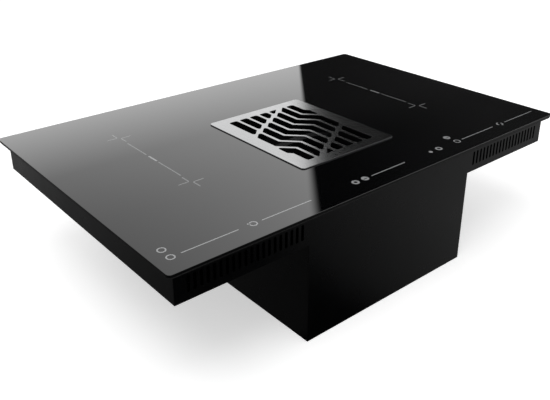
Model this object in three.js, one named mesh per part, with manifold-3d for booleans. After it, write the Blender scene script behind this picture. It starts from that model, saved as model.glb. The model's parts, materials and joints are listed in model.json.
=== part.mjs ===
// Induction hob with a downdraft extractor in its middle. A black ceramic glass top lies over a shallow
// housing with two coil bays. Under the middle hangs a deep fan casing that holds the intake well, the
// grease filter and a centrifugal blower, whose flat duct outlet leaves at the back.
// Millimetres, +Z up, origin on the resting face under the middle of the glass, user at -Y.
import * as THREE from "three";
import { mergeVertices } from "three/addons/utils/BufferGeometryUtils.js";
import Module from "manifold-3d";

const wasm = await Module();
wasm.setup();

// ---------------------------------------------------------------- sizes
const fit = 0.3; // clearance between two pieces that seat on each other

// Glass top
const glassWidth = 800;
const glassDepth = 520;
const glassThickness = 4;
const glassCorner = 6;
const glassBevel = 0.8;
const glassTop = 213; // height of the cooking surface above the base

// Shallow housing and deep fan casing, both folded from one gauge of sheet
const sheet = 1.2;
const overhang = 12.9; // glass beyond the housing, all round
const housingDrop = 53; // glass top to the housing's underside
const lipWidth = 10; // folded lip under the glass
const casingWidth = 350;
const casingBack = 170; // y of the casing's rear face
const casingFlange = 12;
const coverRim = 12; // upturned rim of the base cover
const ventCount = 20; // slots in each half of the front panel
const ventWidth = 4.6;
const ventHeight = 24;
const ventDrop = 18; // glass top to the slots' upper ends
const ventInnerMargin = 13; // casing's side to the middle of the innermost slot
const ventOuterMargin = 20.5; // and housing's side to the middle of the outermost
const louvreCount = 6; // air slots under each cooling fan
const louvreWidth = 4.6;

// Foam strip that seals the glass to the worktop
const sealThickness = 2.5;
const sealInset = 2; // glass edge to foam
const sealGap = 1; // foam to housing

// Intake grille: seven wavy bars between two slanted spines, the same turned by half a turn
const intakeY = -30; // middle of the grille, the well and the blower
const grilleThickness = 1.5;
const grilleBevel = 0.4;
const grilleCorner = 8;
const barPitch = 22;
const barWidth = 5.8;
const barJog = 24.6; // sideways step of each bar, at 45 degrees
const barRise = 13.8; // each bar's step lies this much further back than its left neighbour's
const waveBars = 7;
const spineStart = 24.5; // height of the spine where it leaves the left edge of the field
const spineWidth = 5;
const slotFieldDepth = 200;
const frameStep = 3.4; // the field's straight sides lie inside the outermost wave edge by this
const frameBulge = 3.1; // and bulge past that edge where the end bars run out
const slotCorner = 3.5;
const sideMargin = 28;
const endMargin = 20;
const skirtDepth = 6;
const skirtThickness = 2;
const skirtGap = 0.8; // loose fit in the cut-out
const grilleLap = 8; // grille over the glass around the cut-out

// Intake well under the cut-out
const wellWall = 2.5;
const wellFlange = 14;
const gasketThickness = 2;
const wellClearance = 1; // well's inner face outside the cut-out's edge
const wellCorner = 6;
const seatPost = 12;

// Grease filter: a pleated panel in a frame with a bridge handle
const filterHeight = 50;
const filterTopDrop = 13; // glass top to the frame's rim
const filterGap = 2.5; // to the cut-out, each side
const filterWall = 1.5;
const filterLip = 8;
const pleatCount = 18;
const pleatHeight = 12;
const pleatThickness = 2.4;
const handleWidth = 16;
const handleThickness = 3;
const handleDrop = 16; // bridge's ends under its middle

// Blower: volute with a flat duct outlet, drum wheel, external-rotor motor
const isolatorHeight = 11.5;
const isolatorRadius = 8;
const isolatorWaist = 5;
const isolatorSpread = 75; // from the blower's axis, in x and in y
const voluteWall = 2.5;
const ductWidth = 222; // outside, flat duct
const ductHeight = 89;
const ductWall = 2;
const voluteStart = 106; // radius at the tongue
const voluteEnd = 152; // radius at the outlet
const tongueAngle = 55; // degrees from +X
const throatShare = 0.57; // tongue's x as a share of its radius
const inletRadius = 72;
const inletRound = 8;
const inletSealHeight = 18;
const inletSealWidth = 12;
const collarGap = 10; // top of the well's collar to the filter
const wheelRadius = 95;
const wheelInner = 77;
const wheelFloorGap = 8;
const wheelTopGap = 9.5;
const wheelPlate = 2;
const wheelRing = 3;
const bladeCount = 24;
const bladeThickness = 1.2;
const bladeSweep = 18; // degrees, inner edge to outer edge
const statorRadius = 37;
const statorBase = 58;
const statorTopZ = 60;
const rotorRadius = 43;
const rotorWall = 3;
const rotorHeight = 48;
const shaftRadius = 4;
const motorPlateRadius = 72;
const motorPlateThickness = 2.5;
const spigotLength = 45;
const spigotFlange = 10;

// Coils: two to each side, under one insulating sheet
const bayMargin = 31; // room beside the coil plate, in the bay from the well's flange to the housing's side
const coilBackMargin = 14.1; // rear coil to the housing's back
const coilFrontMargin = 72.1; // front coil to the housing's front, over the touch controls
const coilGap = 16; // between the two coils of a bay
const coilCorner = 46;
const coilEye = 52; // winding's open middle
const windingThickness = 3.5;
const formerThickness = 3;
const ferriteThickness = 4;
const ferriteWidth = 14;
const ferriteBars = 8;
const sensorRadius = 9;
const insulationThickness = 0.8;
const insulationMargin = 3;
const coilPlateSheet = 1.5;
const coilPlateMargin = 8;
const coilPlateFoot = 9;
const wireHole = 14;

// Power electronics in each bay
const boardThickness = 1.6;
const boardLength = 210;
const boardMargin = 7; // coil's edge to the board's, in plan
const boardStandoff = 4.5;
const standoffRadius = 4;
const standoffInset = 8;
const sinkLength = 150;
const sinkBase = 5;
const sinkFins = 9;
const finThickness = 1.6;
const sinkTopGap = 4;
const sinkMargin = 10; // board's edge to the heat sink, on the well's side
const sinkChokeGap = 37;
const chokeMargin = 23; // board's edge to the choke, on the far side
const chokeBackMargin = 32;
const chokeRadius = 18;
const chokeBore = 7;
const chokeHeight = 15;
const fanSize = 76;
const fanHeight = 26;
const fanWall = 2;
const fanBackMargin = 12.1; // fan to the housing's back
const fanBoardGap = 9;
const fanChamber = 34;
const fanWheelRadius = 30;
const fanInletRadius = 25;
const fanPin = 3;
const fanBlades = 11;
const fanBladeDepth = 9;

// Touch controls along the front edge
const touchDepth = 44;
const touchCarrierHeight = 9;
const touchWall = 1.5;

// Mains inlet and the blower's own controller
const terminalMargin = 4.1; // terminal block to the housing's side
const terminalWidth = 24;
const terminalLength = 62;
const terminalHeight = 22;
const terminalBackMargin = 25.1;
const terminalWays = 6;
const glandDrop = 27; // glass top to the gland's axis
const glandRadius = 11;
const glandLength = 9;
const glandThread = 8;
const controlWidth = 60;
const controlDepth = 74;
const controlHeight = 36;
const controlWall = 1.8;
const controlBackMargin = 18; // to the casing's rear face
const controlGap = 4; // to the casing's side

// ---------------------------------------------------------------- levels and places, from the sizes
const glassUnder = glassTop - glassThickness;
const housingX = glassWidth / 2 - overhang;
const housingY = glassDepth / 2 - overhang;
const trayFloor = glassTop - housingDrop;
const trayFloorTop = trayFloor + sheet;
const housingRim = glassUnder - fit;
const panelBack = -housingY + sheet; // rear face of the front panel
const casingX = casingWidth / 2;

const waveHalf = ((waveBars - 1) / 2) * barPitch + barJog / 2 - barWidth / 2; // outermost wave edge
const fieldX = waveHalf - frameStep;
const bulgeX = waveHalf + frameBulge;
const fieldY = slotFieldDepth / 2;
const grilleX = fieldX + sideMargin;
const grilleY = fieldY + endMargin;
const cutoutX = grilleX - grilleLap;
const cutoutY = grilleY - grilleLap;

const scrollFloor = sheet + fit + isolatorHeight;
const ductInnerHeight = ductHeight - 2 * ductWall;
const scrollRim = scrollFloor + voluteWall + ductInnerHeight;
const coverTop = scrollRim + fit + voluteWall;
const wellFloor = coverTop + fit + inletSealHeight;
const gasketUnder = glassUnder - fit - gasketThickness;
const wellX = cutoutX + wellClearance;
const wellY = cutoutY + wellClearance;
const filterTop = glassTop - filterTopDrop;
const filterSeat = filterTop - filterHeight;
const filterX = cutoutX - filterGap;
const filterY = cutoutY - filterGap;
const outletY = casingBack - sheet - fit - intakeY; // measured from the blower's axis
const ductInnerWidth = ductWidth - 2 * ductWall;
const ductX = voluteEnd - ductInnerWidth / 2; // middle of the outlet
const ductZ = scrollFloor + voluteWall + ductInnerHeight / 2;

const ventInner = casingX + ventInnerMargin;
const ventPitch = (housingX - ventOuterMargin - ventInner) / (ventCount - 1);
const bayX = wellX + wellFlange;
const zoneX = (bayX + housingX) / 2;
const coilWidth = housingX - bayX - 2 * (bayMargin + coilPlateFoot + coilPlateMargin);
const coilDepth = (2 * housingY - coilBackMargin - coilFrontMargin - coilGap) / 2;
const zoneBackY = housingY - coilBackMargin - coilDepth / 2;
const zoneFrontY = -housingY + coilFrontMargin + coilDepth / 2;
const fanY = housingY - fanBackMargin - fanSize / 2;
const boardWidth = coilWidth - 2 * boardMargin;
const boardBackY = fanY - fanSize / 2 - fanBoardGap;
const boardFrontY = boardBackY - boardLength;
const chokeX = boardWidth / 2 - chokeMargin - chokeRadius;
const sinkWidth = boardWidth / 2 + chokeX - chokeRadius - sinkChokeGap - sinkMargin;
const sinkX = sinkMargin + sinkWidth / 2 - boardWidth / 2;
const chokeY = boardBackY - chokeBackMargin - chokeRadius;
const terminalX = housingX - terminalMargin - terminalWidth / 2;
const terminalBackY = housingY - terminalBackMargin;
const glandZ = glassTop - glandDrop;
const controlBackY = casingBack - controlBackMargin;

const insulationUnder = glassUnder - fit - insulationThickness;
const windingUnder = insulationUnder - fit - windingThickness;
const formerUnder = windingUnder - fit - formerThickness;
const ferriteUnder = formerUnder - fit - ferriteThickness;
const coilPlateTop = ferriteUnder - fit;
const coilPlateUnder = coilPlateTop - coilPlateSheet;
const boardUnder = trayFloorTop + boardStandoff;
const boardTop = boardUnder + boardThickness;
const fine = 28; // facets of a large round
const medium = 14; // and of a small one
const sides = [["left", -1], ["right", 1]];
const zones = [["rear", zoneBackY], ["front", zoneFrontY]];

// ---------------------------------------------------------------- shaping helpers
const point = (x, y) => new THREE.Vector2(x, y);
const radians = THREE.MathUtils.degToRad;

// A closed three.js surface as a solid that can be joined and cut
function solid(geometry) {
  const bare = geometry.clone();
  bare.deleteAttribute("normal");
  bare.deleteAttribute("uv");
  const merged = mergeVertices(bare, 1e-4);
  return new wasm.Manifold(
    new wasm.Mesh({
      numProp: 3,
      vertProperties: merged.attributes.position.array,
      triVerts: new Uint32Array(merged.index.array),
    }),
  );
}

// A solid back as three.js geometry
function surface(form) {
  const mesh = form.getMesh();
  const geometry = new THREE.BufferGeometry();
  geometry.setAttribute("position", new THREE.BufferAttribute(mesh.vertProperties, 3));
  geometry.setIndex(new THREE.BufferAttribute(mesh.triVerts, 1));
  return geometry;
}

const join = (first, ...others) => others.reduce((whole, other) => whole.add(other), first);
const cut = (first, ...tools) => tools.reduce((rest, tool) => rest.subtract(tool), first);

function block(x0, x1, y0, y1, z0, z1) {
  const geometry = new THREE.BoxGeometry(x1 - x0, y1 - y0, z1 - z0);
  return solid(geometry.translate((x0 + x1) / 2, (y0 + y1) / 2, (z0 + z1) / 2));
}

// A flat outline with holes, raised from z0 to z1, with its edges bevelled where bevel is given
function slab(outline, z0, z1, { holes = [], bevel = 0 } = {}) {
  const shape = new THREE.Shape(outline);
  shape.holes = holes.map((hole) => new THREE.Path(hole));
  const geometry = new THREE.ExtrudeGeometry(shape, {
    depth: z1 - z0 - 2 * bevel,
    bevelEnabled: bevel > 0,
    bevelThickness: bevel,
    bevelSize: bevel,
    bevelOffset: -bevel,
    bevelSegments: 1,
  });
  return solid(geometry.translate(0, 0, z0 + bevel));
}

// Counter-clockwise outlines
function circle(radius, x = 0, y = 0, steps = fine) {
  return Array.from({ length: steps }, (_, i) => {
    const angle = (i / steps) * 2 * Math.PI;
    return point(x + radius * Math.cos(angle), y + radius * Math.sin(angle));
  });
}

function oblong(halfX, halfY, corner, x = 0, y = 0, steps = 3) {
  const corners = [[1, 1], [-1, 1], [-1, -1], [1, -1]];
  return corners.flatMap(([sx, sy], quarter) =>
    Array.from({ length: steps + 1 }, (_, i) => {
      const angle = ((quarter + i / steps) * Math.PI) / 2;
      return point(
        x + sx * (halfX - corner) + corner * Math.cos(angle),
        y + sy * (halfY - corner) + corner * Math.sin(angle),
      );
    }),
  );
}

// The outline moved outwards by a distance, with mitred corners
function offset(outline, distance) {
  return outline.map((here, i) => {
    const before = outline.at(i - 1);
    const after = outline[(i + 1) % outline.length];
    const inward = here.clone().sub(before).normalize();
    const onward = after.clone().sub(here).normalize();
    const normal = point(inward.y + onward.y, -inward.x - onward.x).normalize();
    const reach = distance / (normal.x * inward.y - normal.y * inward.x);
    return here.clone().addScaledVector(normal, reach);
  });
}

// The outline with every corner rounded, by less where a side is short
function rounded(outline, radius) {
  return outline.flatMap((corner, i) => {
    const back = outline.at(i - 1).clone().sub(corner);
    const ahead = outline[(i + 1) % outline.length].clone().sub(corner);
    const shortest = Math.min(back.length(), ahead.length());
    const half = back.angleTo(ahead) / 2;
    const tangent = Math.min(radius / Math.tan(half), 0.48 * shortest);
    const from = corner.clone().addScaledVector(back.normalize(), tangent);
    const to = corner.clone().addScaledVector(ahead.normalize(), tangent);
    const steps = Math.max(1, Math.round((Math.PI - 2 * half) / (Math.PI / 4)));
    const arc = new THREE.QuadraticBezierCurve(from, corner, to);
    return arc.getPoints(steps);
  });
}

// A profile of [radius, z] turned about a vertical axis
function turned(profile, x = 0, y = 0, steps = medium) {
  const geometry = new THREE.LatheGeometry(profile.map(([radius, z]) => point(radius, z)), steps);
  return solid(geometry.rotateX(Math.PI / 2).translate(x, y, 0));
}

const ring = (outer, inner, z0, z1, x = 0, y = 0, steps = fine) =>
  slab(circle(outer, x, y, steps), z0, z1, { holes: [circle(inner, x, y, steps)] });

// One outline repeated at equal turns about an axis
function aroundAxis(count, outline, x = 0, y = 0) {
  return Array.from({ length: count }, (_, i) => {
    const angle = (i / count) * 2 * Math.PI;
    return outline.map((p) => p.clone().rotateAround(point(0, 0), angle).add(point(x, y)));
  });
}

// ---------------------------------------------------------------- finishes
const finish = (color, roughness, metalness) =>
  new THREE.MeshStandardMaterial({ color, roughness, metalness });
const blackGlass = () => finish(0x0a0b0c, 0.05, 0);
const brushedSteel = () => finish(0xc9cbcd, 0.32, 1);
const darkSheet = () => finish(0x2a2c2f, 0.5, 0.6);
const zincSheet = () => finish(0x9aa0a6, 0.45, 0.9);
const blackPlastic = () => finish(0x17181a, 0.55, 0);
const greyPlastic = () => finish(0x4a4d50, 0.6, 0);
const foam = () => finish(0x1d1d1e, 0.9, 0);
const rubber = () => finish(0x141414, 0.8, 0);
const aluminium = () => finish(0xb4b8bb, 0.4, 1);
const copper = () => finish(0xa8623a, 0.35, 1);
const ferrite = () => finish(0x303236, 0.7, 0.2);
const mica = () => finish(0xb7ab92, 0.7, 0);
const circuitBoard = () => finish(0x1f5a35, 0.5, 0);
const steel = () => finish(0x8d9196, 0.3, 1);

const model = new THREE.Group();
function add(name, form, material) {
  const mesh = new THREE.Mesh(surface(form), material);
  mesh.name = name;
  model.add(mesh);
}

// ---------------------------------------------------------------- glass top and its seal
function glassPanel() {
  const outline = oblong(glassWidth / 2, glassDepth / 2, glassCorner);
  const cutout = oblong(cutoutX, cutoutY, wellCorner, 0, intakeY).reverse();
  return slab(outline, glassUnder, glassTop, { holes: [cutout], bevel: glassBevel });
}

function worktopSeal() {
  const top = glassUnder - fit;
  const outline = oblong(glassWidth / 2 - sealInset, glassDepth / 2 - sealInset, glassCorner);
  const inner = oblong(housingX + sealGap, housingY + sealGap, sheet);
  return slab(outline, top - sealThickness, top, { holes: [inner.reverse()] });
}

// ---------------------------------------------------------------- intake grille
// Coordinates in the grille's own plane, from its middle. Each bar's step lies one pitch to the right of
// its left neighbour's and one rise further back.
const lastBar = (waveBars - 1) / 2;
const mitre = (barWidth / 2) * Math.tan(Math.PI / 8);
const halfTurn = (outline) => outline.map((p) => point(-p.x, -p.y));
const upperKink = (bar, side) =>
  point(bar * barPitch - barJog / 2 + (side * barWidth) / 2, bar * barRise + barJog / 2 + side * mitre);
// Height of a column's slanted spine at x, moved to its upper (1) or lower (-1) face
const spineAt = (column, x, face) =>
  x + fieldX - column * barPitch + spineStart + column * barRise + (face * spineWidth) / Math.SQRT2;

// The slanted end of a slot between x0 and x1, cut off at the top of the field
function slantedEnd(column, x0, x1, face) {
  const topX = x1 - (spineAt(column, x1, face) - fieldY);
  if (topX >= x1) return [point(x0, spineAt(column, x0, face)), point(x1, spineAt(column, x1, face))];
  return [point(x0, spineAt(column, x0, face)), point(topX, fieldY), point(x1, fieldY)];
}

// Straight slots above the spine, the last of them a triangle under the field's edge
function straightSlots() {
  const slots = [];
  for (let column = 0; column < waveBars - 2; column++) {
    const left = -fieldX + column * barPitch;
    const right = left + barPitch - barWidth;
    const end = slantedEnd(column, left, right, 1);
    if (end[0].y > fieldY - barWidth) continue;
    const top = end.length > 2 ? [] : [point(right, fieldY)];
    const lower = end.length > 2 ? end.slice(0, 2) : end;
    slots.push([...lower, ...top, point(left, fieldY)]);
  }
  return slots;
}

// Upper half of the wavy slot between bar and the next one
function waveTop(bar) {
  const leftKink = upperKink(bar, 1);
  const rightKink = upperKink(bar + 1, -1);
  return [leftKink, ...slantedEnd(bar + lastBar, leftKink.x, rightKink.x, -1), rightKink];
}

function waveSlots() {
  const slots = [];
  for (let bar = -lastBar; bar < lastBar; bar++) {
    slots.push([...waveTop(bar), ...halfTurn(waveTop(-1 - bar))].reverse());
  }
  return slots;
}

// The slot outside the last bar, which bulges into the frame
function endSlot() {
  const kink = upperKink(lastBar, 1);
  const bulgeFoot = kink.y - (bulgeX - kink.x);
  const bulgeHead = bulgeFoot + barJog + barWidth / 2;
  return [
    point(kink.x, fieldY),
    kink,
    point(bulgeX, bulgeFoot),
    point(bulgeX, bulgeHead),
    point(fieldX, bulgeHead + bulgeX - fieldX),
    point(fieldX, fieldY),
  ];
}

function grilleSlots() {
  const upper = [...straightSlots(), endSlot()];
  const all = [...upper, ...upper.map(halfTurn), ...waveSlots()];
  return all.map((slot) => rounded(slot, slotCorner).map((p) => p.add(point(0, intakeY))).reverse());
}

function intakeGrille() {
  const z0 = glassTop + fit / 2;
  const face = slab(oblong(grilleX, grilleY, grilleCorner, 0, intakeY), z0, z0 + grilleThickness, {
    holes: grilleSlots(),
    bevel: grilleBevel,
  });
  const outer = oblong(cutoutX - skirtGap, cutoutY - skirtGap, wellCorner - skirtGap, 0, intakeY);
  const inner = oblong(
    cutoutX - skirtGap - skirtThickness,
    cutoutY - skirtGap - skirtThickness,
    wellCorner - skirtGap - skirtThickness,
    0,
    intakeY,
  );
  const skirt = slab(outer, glassTop - skirtDepth, z0 + grilleThickness / 2, { holes: [inner.reverse()] });
  return join(face, skirt);
}

// ---------------------------------------------------------------- intake well and filter
function wellGasket() {
  const outer = oblong(wellX + wellFlange, wellY + wellFlange, wellCorner + wellFlange / 2, 0, intakeY);
  const inner = oblong(wellX, wellY, wellCorner, 0, intakeY);
  return slab(outer, gasketUnder, gasketUnder + gasketThickness, { holes: [inner.reverse()] });
}

function intakeWell() {
  const top = gasketUnder - fit;
  const flange = slab(
    oblong(wellX + wellFlange, wellY + wellFlange, wellCorner + wellFlange / 2, 0, intakeY),
    top - wellWall,
    top,
  );
  const body = slab(
    oblong(wellX + wellWall, wellY + wellWall, wellCorner + wellWall, 0, intakeY),
    wellFloor,
    top,
  );
  const hollow = slab(oblong(wellX, wellY, wellCorner, 0, intakeY), wellFloor + wellWall, top + wellWall);
  const posts = [[1, 1], [-1, 1], [-1, -1], [1, -1]].map(([sx, sy]) => {
    const x = sx * (wellX - seatPost / 2);
    const y = intakeY + sy * (wellY - seatPost / 2);
    const half = seatPost / 2 + wellWall / 2;
    return slab(oblong(half, half, wellCorner, x, y), wellFloor + wellWall / 2, filterSeat - fit);
  });
  const collar = slab(circle(inletRadius + wellWall, 0, intakeY), wellFloor, filterSeat - collarGap);
  const inlet = slab(circle(inletRadius, 0, intakeY), wellFloor - wellWall, filterSeat);
  return cut(join(cut(join(flange, body), hollow), ...posts, collar), inlet);
}

function filterFrame() {
  const outline = (inset, corner) => oblong(filterX - inset, filterY - inset, corner, 0, intakeY);
  const rim = slab(outline(0, wellCorner), filterSeat, filterTop, {
    holes: [outline(filterWall, wellCorner - filterWall).reverse()],
  });
  const ledge = slab(outline(0, wellCorner), filterSeat, filterSeat + filterWall, {
    holes: [outline(filterLip, wellCorner).reverse()],
  });
  return join(rim, ledge, bridgeHandle());
}

// An arched strap from one long side of the filter frame to the other
function bridgeHandle() {
  const reach = filterX - filterWall / 2;
  const crown = filterTop;
  const arch = (dx, z) => new THREE.Vector2(dx, z);
  const upper = new THREE.QuadraticBezierCurve(
    arch(reach, crown - handleDrop),
    arch(0, crown + handleDrop),
    arch(-reach, crown - handleDrop),
  ).getPoints(12);
  const lower = upper.map((p) => point(p.x, p.y - handleThickness)).reverse();
  const shape = new THREE.Shape([...upper, ...lower]);
  const geometry = new THREE.ExtrudeGeometry(shape, { depth: handleWidth, bevelEnabled: false });
  geometry.rotateX(Math.PI / 2).translate(0, intakeY + handleWidth / 2, 0);
  return solid(geometry);
}

// A pleated panel that lies on the frame's ledge
function filterPanel() {
  const halfX = filterX - filterWall - fit;
  const halfY = filterY - filterWall - fit;
  const low = filterSeat + filterWall + fit;
  const pitch = (2 * halfY) / pleatCount;
  const crest = Array.from({ length: 2 * pleatCount + 1 }, (_, i) =>
    point(-halfY + (i * pitch) / 2, low + pleatThickness + (i % 2) * (pleatHeight - pleatThickness)),
  );
  const trough = crest.map((p) => point(p.x, p.y - pleatThickness)).reverse();
  const geometry = new THREE.ExtrudeGeometry(new THREE.Shape([...crest, ...trough]), {
    depth: 2 * halfX,
    bevelEnabled: false,
  });
  geometry.rotateX(Math.PI / 2).rotateZ(Math.PI / 2).translate(-halfX, intakeY, 0);
  const inside = slab(oblong(halfX, halfY, wellCorner - filterWall, 0, intakeY), low - fit, filterTop);
  return solid(geometry).intersect(inside);
}

// ---------------------------------------------------------------- blower
// Inside outline of the volute, growing steadily from the tongue round to the outlet
function volutePath() {
  const from = radians(tongueAngle);
  const steps = 24;
  return Array.from({ length: steps + 1 }, (_, i) => {
    const angle = from + (i / steps) * (2 * Math.PI - from);
    const radius = voluteStart + (i / steps) * (voluteEnd - voluteStart);
    return point(radius * Math.cos(angle), radius * Math.sin(angle));
  });
}

// Inside outline of the outlet, from the throat to the flat duct
function outletPath(end) {
  const throatX = throatShare * voluteStart;
  const throatY = voluteStart * Math.sin(radians(tongueAngle));
  return [
    point(throatX, 0),
    point(voluteEnd, 0),
    point(voluteEnd, end),
    point(voluteEnd - ductInnerWidth, end),
    point(throatX, throatY),
  ];
}

const atIntake = (outline) => outline.map((p) => p.clone().add(point(0, intakeY)));

function volute(grow, z0, z1, end) {
  const spiral = slab(atIntake(offset(volutePath(), grow)), z0, z1);
  const outlet = offset(outletPath(outletY), grow).map((p) => point(p.x, Math.min(p.y, end)));
  return join(spiral, slab(atIntake(outlet), z0, z1));
}

function blowerScroll() {
  const shell = volute(voluteWall, scrollFloor, scrollRim, outletY);
  const air = volute(0, scrollFloor + voluteWall, scrollRim + voluteWall, outletY);
  const mouth = block(
    voluteEnd - ductInnerWidth,
    voluteEnd,
    intakeY + outletY - voluteWall,
    intakeY + outletY + voluteWall,
    scrollFloor + voluteWall,
    scrollRim + voluteWall,
  );
  const motorSeat = circle(statorBase + fit, 0, intakeY);
  const motorHole = slab(motorSeat, scrollFloor - fit, scrollFloor + 2 * voluteWall);
  return cut(shell, air, mouth, motorHole);
}

function blowerCover() {
  const lid = volute(voluteWall, scrollRim + fit, coverTop, outletY);
  const bellTop = inletRadius + inletRound;
  const hole = slab(circle(bellTop, 0, intakeY), scrollRim, coverTop + fit);
  const arc = Array.from({ length: 3 }, (_, i) => {
    const angle = (i / 2) * (Math.PI / 2);
    return [bellTop - inletRound * Math.sin(angle), coverTop - inletRound * (1 - Math.cos(angle))];
  });
  const back = arc.map(([radius, z]) => [radius + voluteWall, z]).reverse();
  const bell = turned([...arc, ...back, arc[0]], 0, intakeY, fine);
  return join(cut(lid, hole), bell);
}

function inletSeal() {
  return ring(
    inletRadius + inletRound + inletSealWidth,
    inletRadius + inletRound,
    coverTop + fit,
    wellFloor - fit,
    0,
    intakeY,
  );
}

// Forward-curved blades between a back plate and a front ring
function blade(inner, outer, thickness, sweep, steps = 2) {
  const edge = (shift) =>
    Array.from({ length: steps + 1 }, (_, i) => {
      const share = i / steps;
      const radius = inner + share * (outer - inner);
      const angle = radians(sweep) * share * share + shift / radius;
      return point(radius * Math.cos(angle), radius * Math.sin(angle));
    });
  return [...edge(-thickness / 2), ...edge(thickness / 2).reverse()];
}

function impeller() {
  const low = scrollFloor + voluteWall + wheelFloorGap;
  const high = scrollRim - wheelTopGap;
  const sleeve = rotorRadius + fit;
  const backPlate = ring(wheelRadius, sleeve, low, low + wheelPlate, 0, intakeY);
  const hub = ring(sleeve + wheelPlate, sleeve, low, low + rotorHeight / 2, 0, intakeY);
  const frontRing = ring(wheelRadius, wheelInner, high - wheelRing, high, 0, intakeY);
  const bite = wheelPlate / 4;
  const outline = blade(wheelInner + bite, wheelRadius - bite, bladeThickness, bladeSweep);
  const blades = aroundAxis(bladeCount, outline, 0, intakeY);
  const row = blades.map((b) => slab(b, low + wheelPlate / 2, high - wheelRing / 2));
  return join(backPlate, hub, frontRing, ...row);
}

const rotorFloor = scrollFloor + voluteWall + 2 * fit + fit;
const rotorTop = rotorFloor + rotorHeight;

function motorRotor() {
  const inner = rotorRadius - rotorWall;
  const bore = shaftRadius + fit;
  return turned(
    [
      [inner, rotorFloor],
      [rotorRadius, rotorFloor],
      [rotorRadius, rotorTop - rotorWall],
      [rotorRadius - rotorWall, rotorTop],
      [bore, rotorTop],
      [bore, rotorTop - 2 * rotorWall],
      [2 * bore, rotorTop - 2 * rotorWall],
      [2 * bore, rotorTop - rotorWall],
      [inner, rotorTop - rotorWall],
      [inner, rotorFloor],
    ],
    0,
    intakeY,
  );
}

function motorStator() {
  const low = scrollFloor;
  const bore = shaftRadius + fit;
  const neck = 2 * bore;
  return turned(
    [
      [bore, low],
      [statorBase, low],
      [statorBase, low + voluteWall],
      [statorRadius - rotorWall, low + voluteWall],
      [statorRadius - rotorWall, low + 2 * voluteWall],
      [statorRadius, low + 3 * voluteWall],
      [statorRadius, rotorTop - 4 * rotorWall],
      [neck, rotorTop - 4 * rotorWall],
      [neck, rotorTop - 2 * rotorWall - fit],
      [bore, rotorTop - 2 * rotorWall - fit],
      [bore, low],
    ],
    0,
    intakeY,
  );
}

const motorShaft = () => slab(circle(shaftRadius, 0, intakeY, medium), scrollFloor, rotorTop + shaftRadius);

function motorPlate() {
  const top = scrollFloor - fit;
  return slab(circle(motorPlateRadius, 0, intakeY), top - motorPlateThickness, top);
}

// Rubber foot with a waist, between the base cover and the volute
function isolator(x, y) {
  const low = sheet + fit;
  const high = scrollFloor - fit;
  const step = (high - low) / 4;
  return turned(
    [
      [0, low],
      [isolatorRadius, low],
      [isolatorRadius, low + step],
      [isolatorWaist, low + 2 * step],
      [isolatorRadius, high - step],
      [isolatorRadius, high],
      [0, high],
    ],
    x,
    y,
    8,
  );
}

// Flat duct spigot: its flange lies on the outside of the casing's rear wall
function outletSpigot() {
  const y0 = intakeY + outletY + fit;
  const y1 = casingBack + spigotLength;
  const flangeY = casingBack + fit;
  const frame = (grow, from, to) =>
    block(
      ductX - ductWidth / 2 - grow,
      ductX + ductWidth / 2 + grow,
      from,
      to,
      ductZ - ductHeight / 2 - grow,
      ductZ + ductHeight / 2 + grow,
    );
  const body = join(frame(0, y0, y1), frame(spigotFlange, flangeY, flangeY + ductWall));
  return cut(body, frame(-ductWall, y0 - ductWall, y1 + ductWall));
}

// ---------------------------------------------------------------- sheet metal
// Tray without a front wall: floor, two sides and a back, each with a lip under the glass
function housingTray() {
  const front = panelBack + fit;
  const outside = block(-housingX, housingX, front, housingY, trayFloor, housingRim);
  const inside = block(
    -housingX + sheet,
    housingX - sheet,
    front - sheet,
    housingY - sheet,
    trayFloorTop,
    housingRim - sheet,
  );
  const mouth = block(
    -housingX + lipWidth,
    housingX - lipWidth,
    front - sheet,
    housingY - lipWidth,
    trayFloorTop,
    housingRim + sheet,
  );
  const openingX = casingX - casingFlange;
  const opening = block(
    -openingX,
    openingX,
    front + casingFlange,
    casingBack - casingFlange,
    trayFloor - sheet,
    trayFloorTop + sheet,
  );
  const glandHole = slab(circle(glandThread + fit, 0, 0, medium), -sheet, 2 * sheet)
    .rotate([-90, 0, 0])
    .translate([terminalX, housingY - sheet, glandZ]);
  const posts = sides.flatMap(([, side]) => boardPosts(side));
  const airSlots = sides.flatMap(([, side]) => louvres(side));
  return cut(join(cut(outside, inside, mouth), ...posts), opening, glandHole, ...airSlots);
}

// Pressed-up posts that carry a bay's circuit board
function boardPosts(side) {
  const dx = boardWidth / 2 - standoffInset;
  return [boardFrontY + standoffInset, boardBackY - standoffInset].flatMap((y) =>
    [-dx, dx].map((x) =>
      slab(circle(standoffRadius, side * zoneX + x, y, 8), trayFloor + sheet / 2, boardUnder - fit),
    ),
  );
}

// Air slots under a cooling fan, inside its round inlet
function louvres(side) {
  const pitch = (2 * fanInletRadius) / (louvreCount + 1);
  return Array.from({ length: louvreCount }, (_, i) => {
    const dx = (i - (louvreCount - 1) / 2) * pitch;
    const half = Math.sqrt(fanInletRadius ** 2 - dx ** 2) - louvreWidth / 2;
    const x = side * zoneX + dx;
    return block(
      x - louvreWidth / 2,
      x + louvreWidth / 2,
      fanY - half,
      fanY + half,
      trayFloor - sheet,
      trayFloorTop + sheet,
    );
  });
}

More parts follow.
